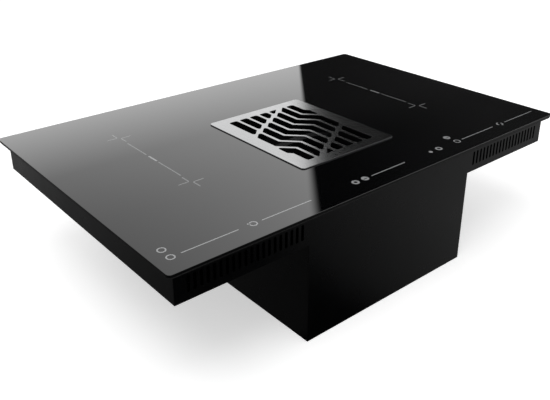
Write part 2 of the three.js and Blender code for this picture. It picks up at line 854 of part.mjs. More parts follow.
// One flat front: the housing's front with its vent slots, and below it the casing's front
function frontPanel() {
  const outline = [
    point(-casingX, 0),
    point(casingX, 0),
    point(casingX, trayFloor),
    point(housingX, trayFloor),
    point(housingX, housingRim),
    point(-housingX, housingRim),
    point(-housingX, trayFloor),
    point(-casingX, trayFloor),
  ];
  const slots = sides.flatMap(([, side]) =>
    Array.from({ length: ventCount }, (_, i) =>
      oblong(
        ventWidth / 2,
        ventHeight / 2,
        0.3 * ventWidth,
        side * (ventInner + i * ventPitch),
        glassTop - ventDrop - ventHeight / 2,
        1,
      ).reverse(),
    ),
  );
  const shape = new THREE.Shape(outline);
  shape.holes = slots.map((slot) => new THREE.Path(slot));
  const geometry = new THREE.ExtrudeGeometry(shape, { depth: sheet, bevelEnabled: false });
  geometry.rotateX(Math.PI / 2).translate(0, panelBack, 0);
  const lipEnd = housingX - lipWidth - fit;
  const lip = block(-lipEnd, lipEnd, -housingY, -housingY + lipWidth, housingRim - sheet, housingRim);
  return join(solid(geometry), lip);
}

// Casing of three walls with a flange under the housing's floor
function fanCasing() {
  const front = panelBack + fit;
  const top = trayFloor - fit;
  const outside = block(-casingX, casingX, front, casingBack, 0, top);
  const inside = block(
    -casingX + sheet,
    casingX - sheet,
    front - sheet,
    casingBack - sheet,
    -sheet,
    top - sheet,
  );
  const mouth = block(
    -casingX + casingFlange,
    casingX - casingFlange,
    front - sheet,
    casingBack - casingFlange,
    0,
    top + sheet,
  );
  const outlet = block(
    ductX - ductWidth / 2 - fit,
    ductX + ductWidth / 2 + fit,
    casingBack - 2 * sheet,
    casingBack + sheet,
    ductZ - ductHeight / 2 - fit,
    ductZ + ductHeight / 2 + fit,
  );
  return cut(outside, inside, mouth, outlet);
}

// Shallow pan that closes the casing from below
function baseCover() {
  const x = casingX - sheet - fit;
  const front = panelBack + fit;
  const back = casingBack - sheet - fit;
  const pan = block(-x, x, front, back, 0, coverRim);
  const hollow = block(-x + sheet, x - sheet, front + sheet, back - sheet, sheet, coverRim + sheet);
  return cut(pan, hollow);
}

// ---------------------------------------------------------------- coils
function coilPlate(side) {
  const middle = side * zoneX;
  const half = coilWidth / 2 + coilPlateMargin;
  const front = zoneFrontY - coilDepth / 2 - insulationMargin;
  const back = zoneBackY + coilDepth / 2 + insulationMargin;
  const low = trayFloorTop + fit;
  const outside = block(middle - half, middle + half, front, back, low, coilPlateTop);
  const inside = block(
    middle - half + coilPlateSheet,
    middle + half - coilPlateSheet,
    front - fit,
    back + fit,
    low - fit,
    coilPlateUnder,
  );
  const feet = [-1, 1].map((edge) => {
    const outer = middle + edge * (half + coilPlateFoot);
    const inner = middle + edge * (half - coilPlateSheet / 2);
    return block(Math.min(outer, inner), Math.max(outer, inner), front, back, low, low + coilPlateSheet);
  });
  const holes = zones.map(([, y]) =>
    slab(circle(wireHole, middle, y, medium), coilPlateUnder - fit, coilPlateTop + fit),
  );
  const windows = Array.from({ length: 3 }, (_, i) => {
    const span = (back - front) / 3;
    const y = front + (i + 0.5) * span;
    return block(
      middle - half - coilPlateSheet,
      middle + half + coilPlateSheet,
      y - span / 3,
      y + span / 3,
      low + coilPlateFoot,
      coilPlateUnder - coilPlateFoot,
    );
  });
  return cut(join(cut(outside, inside), ...feet), ...holes, ...windows);
}

// A star of flat bars with an open hub under the coil
function coilFerrites(x, y) {
  const reach = coilWidth / 2 - ferriteWidth / 2;
  const half = ferriteWidth / 2;
  const crotch = half / Math.tan(Math.PI / ferriteBars);
  const bar = [
    point(reach, -half),
    point(reach, half),
    point(crotch, half),
  ];
  const star = aroundAxis(ferriteBars, bar, x, y).flat();
  const eye = circle(sensorRadius, x, y, medium).reverse();
  return slab(star, ferriteUnder, ferriteUnder + ferriteThickness, { holes: [eye] });
}

const coilOutline = (x, y, shrink) =>
  oblong(coilWidth / 2 - shrink, coilDepth / 2 - shrink, coilCorner - shrink / 2, x, y, 4);
const coilHole = (x, y, grow) =>
  oblong(coilEye / 2 + grow, coilEye / 2 + grow, coilEye / 4 + grow / 2, x, y).reverse();

function coilFormer(x, y) {
  const top = formerUnder + formerThickness;
  return slab(coilOutline(x, y, 0), formerUnder, top, { holes: [circle(sensorRadius / 2, x, y, medium)] });
}

function coilWinding(x, y) {
  const top = windingUnder + windingThickness;
  return slab(coilOutline(x, y, 2 * windingThickness), windingUnder, top, {
    holes: [coilHole(x, y, 0)],
  });
}

function coilSensor(x, y) {
  const low = formerUnder + formerThickness + fit;
  const high = insulationUnder - fit;
  return turned(
    [
      [0, low],
      [sensorRadius, low],
      [sensorRadius, (low + high) / 2],
      [sensorRadius / 2, high],
      [0, high],
    ],
    x,
    y,
    medium,
  );
}

function insulationSheet(side) {
  const halfX = coilWidth / 2 + insulationMargin;
  const halfY = (zoneBackY - zoneFrontY + coilDepth) / 2 + insulationMargin;
  const outline = oblong(halfX, halfY, coilCorner / 4, side * zoneX, (zoneBackY + zoneFrontY) / 2);
  return slab(outline, insulationUnder, insulationUnder + insulationThickness);
}

// ---------------------------------------------------------------- electronics
function inverterBoard(side) {
  const halfY = (boardBackY - boardFrontY) / 2;
  const middleY = (boardBackY + boardFrontY) / 2;
  const outline = oblong(boardWidth / 2, halfY, standoffRadius, side * zoneX, middleY, 2);
  return slab(outline, boardUnder, boardTop);
}

// Extruded comb with its fins along the air's way
function heatSink(side) {
  const low = boardTop + fit;
  const high = coilPlateUnder - sinkTopGap;
  const pitch = (sinkWidth - finThickness) / (sinkFins - 1);
  const floor = low + sinkBase;
  const fins = Array.from({ length: sinkFins }, (_, i) => {
    const x = sinkWidth / 2 - i * pitch;
    const fin = [point(x, high), point(x - finThickness, high)];
    return i < sinkFins - 1 ? [...fin, point(x - finThickness, floor), point(x - pitch, floor)] : fin;
  });
  const comb = new THREE.Shape([point(-sinkWidth / 2, low), point(sinkWidth / 2, low), ...fins.flat()]);
  const geometry = new THREE.ExtrudeGeometry(comb, { depth: sinkLength, bevelEnabled: false });
  const middleY = (boardBackY + boardFrontY) / 2;
  geometry.rotateX(Math.PI / 2).translate(side * (zoneX + sinkX), middleY + sinkLength / 2, 0);
  return solid(geometry);
}

function choke(side) {
  const low = boardTop + fit;
  const edge = (chokeRadius - chokeBore) / 4;
  return turned(
    [
      [chokeBore + edge, low],
      [chokeRadius - edge, low],
      [chokeRadius, low + edge],
      [chokeRadius, low + chokeHeight - edge],
      [chokeRadius - edge, low + chokeHeight],
      [chokeBore + edge, low + chokeHeight],
      [chokeBore, low + chokeHeight - edge],
      [chokeBore, low + edge],
      [chokeBore + edge, low],
    ],
    side * (zoneX + chokeX),
    chokeY,
  );
}

// Flat radial fan: air enters through the floor and leaves forwards over the heat sink
const fanLow = trayFloorTop + fit;
function fanFrame(side) {
  const x = side * zoneX;
  const high = fanLow + fanHeight;
  const half = fanSize / 2;
  const shell = slab(oblong(half, half, fanWall * 2, x, fanY, 3), fanLow, high);
  const chamber = slab(circle(fanChamber, x, fanY), fanLow + fanWall, high - fanWall);
  const mouth = block(x, x + fanChamber, fanY - half - fanWall, fanY, fanLow + fanWall, high - fanWall);
  const inlet = slab(circle(fanInletRadius, x, fanY), fanLow - fanWall, fanLow + 2 * fanWall);
  const pin = slab(circle(fanPin, x, fanY, medium), fanLow + 2 * fanWall, high - fanWall / 2);
  return join(cut(shell, chamber, mouth, inlet), pin);
}

function fanRotor(side) {
  const x = side * zoneX;
  const low = fanLow + 2 * fanWall;
  const high = fanLow + fanHeight - 2 * fanWall;
  const bore = fanPin + fit;
  const disc = ring(fanWheelRadius, bore, high - fanWall, high, x, fanY, medium);
  const hub = ring(bore + 3 * fanWall, bore, low + fanWall, high, x, fanY, medium);
  const tip = fanWheelRadius - fanWall / 2;
  const outline = blade(fanWheelRadius - fanBladeDepth, tip, fanWall / 2, bladeSweep, 1);
  const blades = aroundAxis(fanBlades, outline, x, fanY).map((b) => slab(b, low, high - fanWall / 2));
  return join(disc, hub, ...blades);
}

// Touch controls: a shallow tray stuck under the glass, with its board inside
const touchX = housingX - lipWidth - fit;
const touchY = -housingY + lipWidth + fit + touchDepth / 2;
function touchCarrier() {
  const high = glassUnder - fit;
  const low = high - touchCarrierHeight;
  const tray = slab(oblong(touchX, touchDepth / 2, touchWall * 2, 0, touchY, 3), low, high);
  const hollow = slab(
    oblong(touchX - touchWall, touchDepth / 2 - touchWall, touchWall, 0, touchY, 3),
    low + touchWall,
    high + touchWall,
  );
  const ledge = block(
    -touchX + touchWall / 2,
    touchX - touchWall / 2,
    touchY - touchWall,
    touchY + touchWall,
    low + touchWall / 2,
    high - boardThickness - fit,
  );
  return join(cut(tray, hollow), ledge);
}

function touchBoard() {
  const halfX = touchX - touchWall - fit;
  const halfY = touchDepth / 2 - touchWall - fit;
  const high = glassUnder - fit;
  return slab(oblong(halfX, halfY, touchWall, 0, touchY, 2), high - boardThickness, high);
}

// ---------------------------------------------------------------- mains inlet and blower controller
function terminalBlock() {
  const low = trayFloorTop + fit;
  const front = terminalBackY - terminalLength;
  const x0 = terminalX - terminalWidth / 2;
  const x1 = terminalX + terminalWidth / 2;
  const stepZ = low + terminalHeight / 2;
  const above = low + terminalHeight + fit;
  const body = block(x0, x1, front, terminalBackY, low, low + terminalHeight);
  const step = block(x0 - fit, terminalX, front - fit, terminalBackY + fit, stepZ, above);
  const pitch = terminalLength / terminalWays;
  const wells = Array.from({ length: terminalWays }, (_, i) =>
    block(
      terminalX + pitch / 4,
      x1 - pitch / 4,
      front + (i + 0.22) * pitch,
      front + (i + 0.78) * pitch,
      stepZ,
      above,
    ),
  );
  return cut(body, step, ...wells);
}

function cableGland() {
  const profile = [
    [0, -glandLength],
    [glandThread, -glandLength],
    [glandThread, fit + sheet],
    [glandRadius, fit + sheet],
    [glandRadius, fit + sheet + glandLength / 2],
    [glandThread, fit + sheet + glandLength],
    [0, fit + sheet + glandLength],
  ];
  return turned(profile).rotate([-90, 0, 0]).translate([terminalX, housingY - sheet, glandZ]);
}

const controlX = -casingX + sheet + controlGap + controlWidth / 2;
const controlY = controlBackY - controlDepth / 2;
const controlLow = sheet + fit;
function controlBox() {
  const outline = (inset, corner) =>
    oblong(controlWidth / 2 - inset, controlDepth / 2 - inset, corner, controlX, controlY, 3);
  const top = controlLow + controlHeight;
  const tray = slab(outline(0, 2 * controlWall), controlLow, top);
  const hollow = slab(outline(controlWall, controlWall), controlLow + controlWall, top + controlWall);
  return cut(tray, hollow);
}

function controlBoard() {
  const low = controlLow + controlWall + fit;
  const gap = controlWall + fit;
  const outline = oblong(controlWidth / 2 - gap, controlDepth / 2 - gap, controlWall, controlX, controlY, 3);
  return slab(outline, low, low + boardThickness);
}

// ---------------------------------------------------------------- assembly
add("glass_top", glassPanel(), blackGlass());
add("worktop_seal", worktopSeal(), foam());
add("intake_grille", intakeGrille(), brushedSteel());
add("well_gasket", wellGasket(), foam());
add("intake_well", intakeWell(), blackPlastic());
add("filter_frame", filterFrame(), blackPlastic());
add("filter_panel", filterPanel(), darkSheet());

add("front_panel", frontPanel(), darkSheet());
add("housing_tray", housingTray(), darkSheet());
add("fan_casing", fanCasing(), darkSheet());
add("base_cover", baseCover(), zincSheet());

add("inlet_seal", inletSeal(), foam());
add("blower_cover", blowerCover(), blackPlastic());
add("blower_scroll", blowerScroll(), blackPlastic());
add("impeller", impeller(), greyPlastic());
add("motor_rotor", motorRotor(), steel());
add("motor_shaft", motorShaft(), steel());
add("motor_stator", motorStator(), aluminium());
add("motor_plate", motorPlate(), zincSheet());
add("outlet_spigot", outletSpigot(), blackPlastic());
for (const [side, sx] of sides) {
  for (const [end, sy] of [["rear", 1], ["front", -1]]) {
    const foot = isolator(sx * isolatorSpread, intakeY + sy * isolatorSpread);
    add("isolator_" + end + "_" + side, foot, rubber());
  }
}

for (const [name, side] of sides) {
  add("coil_plate_" + name, coilPlate(side), aluminium());
  add("insulation_" + name, insulationSheet(side), mica());
  add("inverter_board_" + name, inverterBoard(side), circuitBoard());
  add("heat_sink_" + name, heatSink(side), aluminium());
  add("choke_" + name, choke(side), copper());
  add("cooling_fan_frame_" + name, fanFrame(side), blackPlastic());
  add("cooling_fan_rotor_" + name, fanRotor(side), greyPlastic());
  for (const [place, y] of zones) {
    const zone = name + "_" + place;
    add("coil_ferrites_" + zone, coilFerrites(side * zoneX, y), ferrite());
    add("coil_former_" + zone, coilFormer(side * zoneX, y), greyPlastic());
    add("coil_winding_" + zone, coilWinding(side * zoneX, y), copper());
    add("coil_sensor_" + zone, coilSensor(side * zoneX, y), blackPlastic());
  }
}

add("touch_carrier", touchCarrier(), greyPlastic());
add("touch_board", touchBoard(), circuitBoard());
add("terminal_block", terminalBlock(), greyPlastic());
add("cable_gland", cableGland(), blackPlastic());
add("control_box", controlBox(), greyPlastic());
add("control_board", controlBoard(), circuitBoard());

export default model;
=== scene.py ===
"""The looks of a downdraft induction cooktop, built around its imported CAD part.

The object's lengths are millimetres in the part's own frame, and piece() turns them into metres.
The camera and the studio are in metres.
"""

import json
import math

import bmesh
import bpy
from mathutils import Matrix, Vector


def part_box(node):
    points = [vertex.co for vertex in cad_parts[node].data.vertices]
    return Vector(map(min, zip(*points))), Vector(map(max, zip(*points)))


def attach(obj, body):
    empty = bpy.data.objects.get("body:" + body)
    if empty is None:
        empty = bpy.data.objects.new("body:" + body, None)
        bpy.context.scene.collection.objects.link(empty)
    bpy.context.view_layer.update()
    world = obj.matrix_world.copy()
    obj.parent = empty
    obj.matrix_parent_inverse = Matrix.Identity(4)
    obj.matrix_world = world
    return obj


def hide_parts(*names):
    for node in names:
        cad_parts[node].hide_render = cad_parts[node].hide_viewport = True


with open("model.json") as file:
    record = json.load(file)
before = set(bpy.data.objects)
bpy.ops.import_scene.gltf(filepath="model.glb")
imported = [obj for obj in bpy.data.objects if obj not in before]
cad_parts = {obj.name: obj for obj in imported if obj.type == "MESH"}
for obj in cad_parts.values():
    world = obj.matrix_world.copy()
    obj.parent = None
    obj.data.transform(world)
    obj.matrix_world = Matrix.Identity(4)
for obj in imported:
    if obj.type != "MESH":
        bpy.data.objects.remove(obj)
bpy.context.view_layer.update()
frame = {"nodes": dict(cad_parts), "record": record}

MM = 0.001
LEVEL = 0.9999  # a face whose normal is at least this upright is level


# ---------------------------------------------------------------- places, read from the frame
def extent(node):
    """The node's lowest and highest corner, in millimetres."""
    low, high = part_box(node)
    return low / MM, high / MM


# Both plates are centred on x = 0. GLASS_X, GLASS_Y, GRILLE_X and GRILLE_Y are half sizes.
glass_low, glass_high = extent("glass_top")
GLASS_TOP = glass_high.z
GLASS_UNDER = glass_low.z
GLASS_X = glass_high.x
GLASS_Y = glass_high.y
grille_low, grille_high = extent("intake_grille")
GRILLE_X = grille_high.x
GRILLE_Y = (grille_high.y - grille_low.y) / 2
GRILLE_MIDDLE = (grille_high.y + grille_low.y) / 2
GRILLE_TOP = grille_high.z
SKIRT_FOOT = grille_low.z


# ---------------------------------------------------------------- outlines
CIRCLE_STEPS = 48
CORNER_STEPS = 10  # around each corner of an oblong
ROUND_STEPS = 6  # around each corner of a rounded outline
ARC_STEPS = 8  # along an arc
CAP_STEPS = 8  # around each round end of a stroke
SIDE_SHARE = 0.48  # of a side, the most that the round of one corner takes


def circle(radius, x=0.0, y=0.0, steps=CIRCLE_STEPS):
    """A circle's points about (x, y)."""
    turns = [2 * math.pi * i / steps for i in range(steps)]
    return [(x + radius * math.cos(a), y + radius * math.sin(a)) for a in turns]


def oblong(half_x, half_y, corner, x=0.0, y=0.0):
    """A rectangle with rounded corners about (x, y)."""
    points = []
    for quarter, (sx, sy) in enumerate([(1, 1), (-1, 1), (-1, -1), (1, -1)]):
        for i in range(CORNER_STEPS + 1):
            angle = (quarter + i / CORNER_STEPS) * math.pi / 2
            points.append(
                (
                    x + sx * (half_x - corner) + corner * math.cos(angle),
                    y + sy * (half_y - corner) + corner * math.sin(angle),
                )
            )
    return points


def stroke(start, end, width):
    """A straight line of that width with round ends."""
    a, b = Vector(start), Vector(end)
    heading = math.atan2(b.y - a.y, b.x - a.x)
    points = []
    for middle, first in ((b, -math.pi / 2), (a, math.pi / 2)):
        for i in range(CAP_STEPS + 1):
            angle = heading + first + math.pi * i / CAP_STEPS
            points.append(
                (
                    middle.x + width / 2 * math.cos(angle),
                    middle.y + width / 2 * math.sin(angle),
                )
            )
    return points


def rounded(outline, radius):
    """The outline with every corner rounded, by less where a side is short."""
    points = []
    for i, corner in enumerate(outline):
        here = Vector(corner)
        back = Vector(outline[i - 1]) - here
        ahead = Vector(outline[(i + 1) % len(outline)]) - here
        half = back.angle(ahead) / 2
        reach = min(radius / math.tan(half), SIDE_SHARE * min(back.length, ahead.length))
        start = here + back.normalized() * reach
        end = here + ahead.normalized() * reach
        for k in range(ROUND_STEPS + 1):
            t = k / ROUND_STEPS
            bend = start * (1 - t) ** 2 + here * 2 * t * (1 - t) + end * t**2
            points.append((bend.x, bend.y))
    return points


# ---------------------------------------------------------------- meshes
CREASE = math.radians(30)  # edges sharper than this stay hard
BEVEL_STEPS = 2
WELD = 0.001  # points closer than this become one


def plate_mesh(outlines, z0, z1, bevel=0.0):
    """A flat sheet between z0 and z1: the first outline's form, with the others cut out of it."""
    curve = bpy.data.curves.new("outline", "CURVE")
    curve.dimensions = "2D"
    curve.fill_mode = "BOTH"
    curve.extrude = (z1 - z0) / 2 - bevel
    curve.bevel_depth = bevel
    curve.bevel_resolution = BEVEL_STEPS
    curve.offset = -bevel
    for outline in outlines:
        spline = curve.splines.new("POLY")
        spline.points.add(len(outline) - 1)
        for target, (x, y) in zip(spline.points, outline):
            target.co = (x, y, 0, 1)
        spline.use_cyclic_u = True
    source = bpy.data.objects.new("outline", curve)
    bpy.context.scene.collection.objects.link(source)
    bpy.context.view_layer.update()
    depsgraph = bpy.context.evaluated_depsgraph_get()
    mesh = bpy.data.meshes.new_from_object(source.evaluated_get(depsgraph))
    bpy.data.objects.remove(source)
    bpy.data.curves.remove(curve)
    form = bmesh.new()
    form.from_mesh(mesh)
    bpy.data.meshes.remove(mesh)
    bmesh.ops.remove_doubles(form, verts=form.verts, dist=WELD)
    bmesh.ops.translate(form, verts=form.verts, vec=(0, 0, (z0 + z1) / 2))
    return form


def joined(forms):
    """Several bmeshes as one."""
    whole = bmesh.new()
    for form in forms:
        mesh = bpy.data.meshes.new("part")
        form.to_mesh(mesh)
        form.free()
        whole.from_mesh(mesh)
        bpy.data.meshes.remove(mesh)
    return whole


def piece(name, form, body, material, edge=None):
    """A finished piece of the object: it rides on the body and takes the slot's finish.

    Level faces are flat and the others smooth. With an edge finish, the others take that one.
    """
    bmesh.ops.scale(form, verts=form.verts, vec=(MM, MM, MM))
    mesh = bpy.data.meshes.new(name)
    form.to_mesh(mesh)
    form.free()
    mesh.materials.append(material)
    mesh.set_sharp_from_angle(angle=CREASE)
    sloped = [abs(face.normal.z) < LEVEL for face in mesh.polygons]
    mesh.polygons.foreach_set("use_smooth", sloped)
    mesh.update()
    if edge:
        mesh.materials.append(edge)
        mesh.polygons.foreach_set("material_index", sloped)
    made = bpy.data.objects.new(name, mesh)
    bpy.context.scene.collection.objects.link(made)
    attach(made, body)
    return made


# ---------------------------------------------------------------- materials
NOISE_LOW, NOISE_HIGH = 0.3, 0.7  # a noise texture's usual spread
BROAD_GRAIN = 40  # fine grains to one of a brushed sheet's broad streaks


class Finish:
    """A principled material and the few node chains that the finishes share."""

    def __init__(self, name, **inputs):
        self.material = bpy.data.materials.new(name)
        self.material.use_nodes = True
        self.tree = self.material.node_tree
        self.shader = self.tree.nodes["Principled BSDF"]
        for socket, value in inputs.items():
            self.shader.inputs[socket.replace("_", " ")].default_value = value

    def add(self, kind, **settings):
        """A new node with those inputs and settings."""
        node = self.tree.nodes.new(kind)
        for key, value in settings.items():
            if key in node.inputs:
                node.inputs[key].default_value = value
            else:
                setattr(node, key, value)
        return node

    def link(self, source, target):
        self.tree.links.new(source, target)

    def place(self, scale=(1, 1, 1), middle=(0, 0, 0)):
        """Object coordinates, stretched by scale about a middle point."""
        coordinates = self.add("ShaderNodeTexCoord")
        mapping = self.add("ShaderNodeMapping")
        mapping.inputs["Scale"].default_value = scale
        mapping.inputs["Location"].default_value = [-m * s for m, s in zip(middle, scale)]
        self.link(coordinates.outputs["Object"], mapping.inputs["Vector"])
        return mapping.outputs["Vector"]

    def noise(self, scale, detail=3.0, stretch=(1, 1, 1), roughness=0.5):
        """Noise over the object, finer where the scale or the stretch is larger."""
        texture = self.add("ShaderNodeTexNoise")
        texture.inputs["Scale"].default_value = scale
        texture.inputs["Detail"].default_value = detail
        texture.inputs["Roughness"].default_value = roughness
        self.link(self.place(stretch), texture.inputs["Vector"])
        return texture.outputs["Fac"]

    def ranged(self, value, low, high):
        """The value's usual spread, stretched over low to high."""
        spread = self.add("ShaderNodeMapRange")
        spread.inputs["From Min"].default_value = NOISE_LOW
        spread.inputs["From Max"].default_value = NOISE_HIGH
        spread.inputs["To Min"].default_value = low
        spread.inputs["To Max"].default_value = high
        self.link(value, spread.inputs["Value"])
        return spread.outputs["Result"]

    def colours(self, value, low, high):
        """The base colour as a ramp between two colours over the value's usual spread."""
        ramp = self.add("ShaderNodeValToRGB")
        ramp.color_ramp.elements[0].position = NOISE_LOW
        ramp.color_ramp.elements[1].position = NOISE_HIGH
        ramp.color_ramp.elements[0].color = (*low, 1)
        ramp.color_ramp.elements[1].color = (*high, 1)
        self.link(value, ramp.inputs["Fac"])
        self.link(ramp.outputs["Color"], self.shader.inputs["Base Color"])

    def roughness(self, value, low, high):
        """The shader's roughness as the value's usual spread, stretched over low to high."""
        self.link(self.ranged(value, low, high), self.shader.inputs["Roughness"])

    def bump(self, value, height, strength=1.0):
        """Surface relief of that height in metres."""
        relief = self.add("ShaderNodeBump")
        relief.inputs["Strength"].default_value = strength
        relief.inputs["Distance"].default_value = height
        self.link(value, relief.inputs["Height"])
        self.link(relief.outputs["Normal"], self.shader.inputs["Normal"])


def around(colour, share):
    """Two colours, that share darker and lighter than the given one."""
    return [tuple(c * (1 - share) for c in colour), tuple(c * (1 + share) for c in colour)]


def black_glass():
    """Black glass ceramic, polished."""
    glass = Finish("black_glass", IOR=1.52, Coat_Weight=1.0, Coat_Roughness=0.02, Coat_IOR=1.5)
    glass.colours(glass.noise(6.0, 4.0), (0.0013, 0.0014, 0.0016), (0.0021, 0.0022, 0.0025))
    glass.roughness(glass.noise(14.0, 5.0), 0.02, 0.03)
    return glass.material


def ground_edge():
    """The glass's ground edge, duller than its face."""
    edge = Finish("ground_edge", Specular_IOR_Level=0.08)
    edge.colours(edge.noise(60.0, 4.0), (0.0016, 0.0017, 0.0018), (0.0024, 0.0025, 0.0027))
    edge.roughness(edge.noise(200.0, 3.0), 0.35, 0.50)
    edge.bump(edge.noise(3000.0, 2.0), 1e-5, 0.5)
    return edge.material


def brushed_metal(name, colour, roughness, stretch=(1, 1, 1), grain=2600.0, depth=4e-6):
    """Sheet metal with a fine grain drawn out along one direction."""
    metal = Finish(name, Metallic=1.0)
    fine = metal.noise(grain, 4.0, stretch)
    broad = metal.noise(grain / BROAD_GRAIN, 3.0, stretch)
    metal.colours(broad, *around(colour, 0.06))
    metal.roughness(fine, roughness * 0.8, roughness * 1.25)
    metal.bump(fine, depth)
    return metal.material


def coated_sheet():
    """Satin powder coat with its fine orange peel."""
    coat = Finish("dark_sheet", Specular_IOR_Level=0.10)
    coat.colours(coat.noise(18.0, 4.0), (0.0009, 0.0010, 0.0011), (0.0013, 0.0014, 0.0016))
    coat.roughness(coat.noise(30.0, 3.0), 0.26, 0.34)
    coat.bump(coat.noise(1400.0, 2.0), 1.2e-5, 0.5)
    return coat.material


def shaded_cut_edge():
    """The laser-cut edges, slot walls and skirt of the grille's plate: a dark copy of its steel, as
    painted shade.
    """
    edge = Finish("shaded_cut_edge", Metallic=1.0)
    edge.colours(edge.noise(400.0, 4.0), (0.030, 0.030, 0.031), (0.050, 0.050, 0.052))
    edge.roughness(edge.noise(900.0, 3.0), 0.40, 0.55)
    edge.bump(edge.noise(2500.0, 2.0), 2e-5, 0.6)
    return edge.material


def moulded(name, colour, roughness, specular=0.4):
    """Moulded plastic with a fine spark-eroded texture."""
    plastic = Finish(name, Specular_IOR_Level=specular)
    plastic.colours(plastic.noise(25.0, 4.0), *around(colour, 0.12))
    plastic.roughness(plastic.noise(60.0, 3.0), roughness - 0.06, roughness + 0.06)
    plastic.bump(plastic.noise(2200.0, 2.0), 1.5e-5, 0.6)
    return plastic.material


def porous(name, colour, grain, depth):
    """Foam, rubber, fired ceramic and mica: a matt surface broken by grains."""
    matt = Finish(name, Specular_IOR_Level=0.2)
    grains = matt.noise(grain, 6.0, roughness=0.65)
    matt.colours(grains, *around(colour, 0.25))
    matt.roughness(grains, 0.75, 0.95)
    matt.bump(grains, depth)
    return matt.material


def circuit_board():
    """Green solder mask over lighter copper tracks."""
    board = Finish("circuit_board", Specular_IOR_Level=0.5)
    tracks = board.add("ShaderNodeTexBrick")
    tracks.inputs["Scale"].default_value = 90.0
    tracks.inputs["Mortar Size"].default_value = 0.03
    tracks.inputs["Color1"].default_value = (0.012, 0.095, 0.035, 1)
    tracks.inputs["Color2"].default_value = (0.016, 0.120, 0.045, 1)
    tracks.inputs["Mortar"].default_value = (0.035, 0.190, 0.080, 1)
    board.link(board.place(), tracks.inputs["Vector"])
    board.link(tracks.outputs["Color"], board.shader.inputs["Base Color"])
    board.roughness(board.noise(40.0), 0.35, 0.50)
    board.bump(tracks.outputs["Fac"], 2e-5, 0.5)
    return board.material


def winding(name, middle):
    """Turns of enamelled wire about the coil's own middle."""
    wire = Finish(name, Metallic=1.0)
    turns = wire.add("ShaderNodeTexWave", wave_type="RINGS", rings_direction="Z")
    turns.inputs["Scale"].default_value = 150.0
    turns.inputs["Distortion"].default_value = 0.4
    wire.link(wire.place(middle=middle), turns.inputs["Vector"])
    wire.colours(turns.outputs["Fac"], (0.26, 0.095, 0.040), (0.50, 0.210, 0.090))
    wire.roughness(wire.noise(300.0), 0.30, 0.42)
    wire.bump(turns.outputs["Fac"], 2e-4)
    return wire.material


def printed_mark(name, colour):
    """Grey ceramic print, with the gloss of the glass that it lies on."""
    ink = Finish(name, IOR=1.52, Coat_Weight=1.0, Coat_Roughness=0.02, Coat_IOR=1.5)
    ink.colours(ink.noise(900.0, 3.0), *around(colour, 0.09))
    ink.roughness(ink.noise(400.0), 0.02, 0.03)
    return ink.material


FINISHES = {
    "black_glass": black_glass(),
    "stainless_steel": brushed_metal(
        "stainless_steel", (0.66, 0.665, 0.67), 0.155, stretch=(1, 0.02, 1)
    ),
    "dark_sheet": coated_sheet(),
    "zinc_sheet": brushed_metal("zinc_sheet", (0.36, 0.37, 0.39), 0.42, grain=160.0, depth=6e-6),
    # dark steel, made darker still as painted shade for the shadowed well under the grille
    "dark_steel": brushed_metal(
        "dark_steel", (0.008, 0.008, 0.009), 0.50, grain=1800.0, depth=4e-5
    ),
    "steel": brushed_metal("steel", (0.30, 0.31, 0.32), 0.32, stretch=(1, 1, 0.05)),
    "aluminium": brushed_metal("aluminium", (0.50, 0.51, 0.53), 0.38, stretch=(0.04, 1, 1)),
    "ferrite": porous("ferrite", (0.030, 0.030, 0.034), 900.0, 3e-5),
    "mica": porous("mica", (0.45, 0.40, 0.30), 350.0, 1e-5),
    "circuit_board": circuit_board(),
    "black_plastic": moulded("black_plastic", (0.0030, 0.0030, 0.0035), 0.50, specular=0.12),
    "grey_plastic": moulded("grey_plastic", (0.070, 0.075, 0.080), 0.55),
    "foam": porous("foam", (0.012, 0.012, 0.012), 1500.0, 8e-5),
    "rubber": porous("rubber", (0.008, 0.008, 0.008), 500.0, 2e-5),
}
PRINT = printed_mark("printed_mark", (0.33, 0.335, 0.34))
FAINT_PRINT = printed_mark("faint_mark", (0.18, 0.183, 0.186))
GROUND_EDGE = ground_edge()
# painted shade: the grille's edges, slot walls and skirt take a dark copy of its steel
SHADED_CUT_EDGE = shaded_cut_edge()
# painted shade: a darker copy of the grille's stainless, for the plate's outer rim
SHADED_PLATE_RIM = brushed_metal("shaded_plate_rim", (0.11, 0.11, 0.113), 0.50)


def dress_nodes():
    """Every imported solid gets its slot's finish, and each winding its own turns."""
    for part in frame["record"]["subparts"]:
        node = frame["nodes"][part["node"]]
        slot = part["material_slot"]
        if slot == "copper":
            low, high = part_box(part["node"])
            material = winding(part["node"] + "_wire", (low + high) / 2)
        else:
            material = FINISHES[slot]
        if not node.material_slots:
            node.data.materials.append(material)
        for held in node.material_slots:
            held.material = material


# ---------------------------------------------------------------- glass top
GLASS_CORNER = 6.0
GLASS_BEVEL = 0.4
POLISHED = 0.3  # the bevel is polished where its normal rises by more than this
CUTOUT_LAP = 8.0  # grille over the glass around the cut-out
CUTOUT_CORNER = 6.0


def glass_top():
    """The glass plate with its cut-out: ground edges under a polished bevel."""
    outlines = [
        oblong(GLASS_X, GLASS_Y, GLASS_CORNER),
        oblong(GRILLE_X - CUTOUT_LAP, GRILLE_Y - CUTOUT_LAP, CUTOUT_CORNER, 0, GRILLE_MIDDLE),
    ]
    form = plate_mesh(outlines, GLASS_UNDER, GLASS_TOP, GLASS_BEVEL)
    glass = FINISHES["black_glass"]
    made = piece("glass_panel", form, "hob", glass, edge=GROUND_EDGE)
    for face in made.data.polygons:
        if face.normal.z > POLISHED:
            face.material_index = 0
    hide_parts("glass_top")


